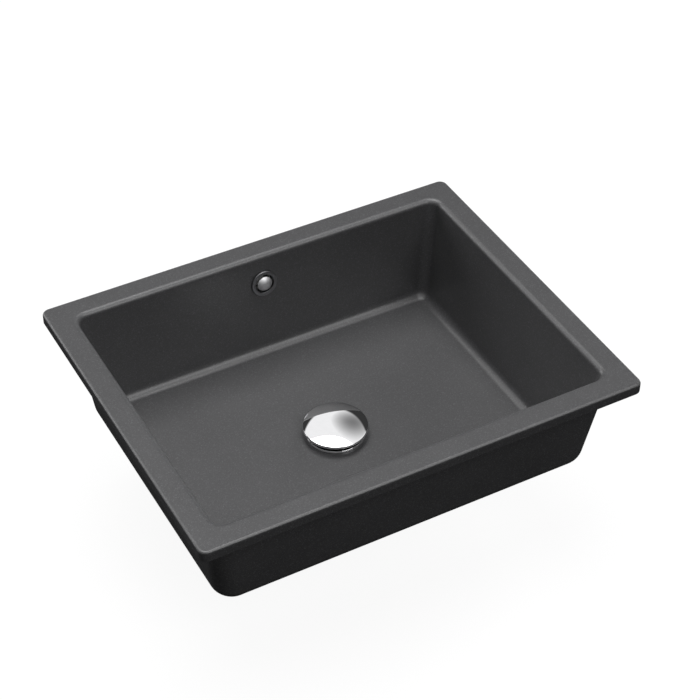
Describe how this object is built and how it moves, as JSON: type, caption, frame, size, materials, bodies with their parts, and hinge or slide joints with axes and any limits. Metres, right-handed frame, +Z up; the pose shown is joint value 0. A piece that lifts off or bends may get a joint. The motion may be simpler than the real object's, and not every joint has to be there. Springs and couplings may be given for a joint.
{
  "type": "washbasin",
  "caption": "Rectangular washbasin with a flat rim, an overflow with its duct, and a press-to-close waste with a domed cap.",
  "frame": {"origin": "centre of the rim in the plane of the rim's underside", "axes": "+X along the basin's length, +Y towards its back with the overflow, +Z up"},
  "size_m": [0.5, 0.4, 0.2065],
  "materials": {
    "stone": "fine matt granite speckle",
    "chrome": "polished",
    "brass": "machined",
    "rubber": "matt",
    "plastic_white": "moulded",
    "plastic_grey": "moulded",
    "steel": "drawn wire"
  },
  "bodies": {
    "basin": {"basin_bowl": "stone", "rim_inserts": "brass", "overflow_duct": "plastic_grey", "overflow_ring": "chrome", "overflow_gasket": "rubber", "overflow_bridge": "plastic_white", "overflow_screw": "chrome", "waste_body": "chrome", "tail_spider": "brass", "waste_flange_seal": "rubber", "lower_seal": "rubber", "slip_washer": "plastic_white", "back_nut": "brass", "cartridge_case": "brass", "cartridge_collar": "brass", "stem_oring": "rubber", "cam_sleeve": "plastic_white", "plunger_spring": "steel"},
    "plug": {"waste_cap": "chrome", "cap_seal": "rubber", "seal_retainer": "brass", "plunger_stem": "brass"},
    "rotor": {"latch_rotor": "plastic_white"}
  },
  "joints": [
    {"name": "cap_press", "type": "slide", "parent": "basin", "child": "plug", "axis": [0, 0, 1], "range_m": [-0.0055, 0], "deforming": ["plunger_spring"]},
    {"name": "rotor_index", "type": "hinge", "parent": "plug", "child": "rotor", "pos_m": [0, 0, -0.1302], "axis": [0, 0, 1], "range_deg": [0, 45]}
  ],
  "couplings": [
    {"joint": "rotor_index", "follows": "cap_press", "rad_per_m": -142.8}
  ]
}
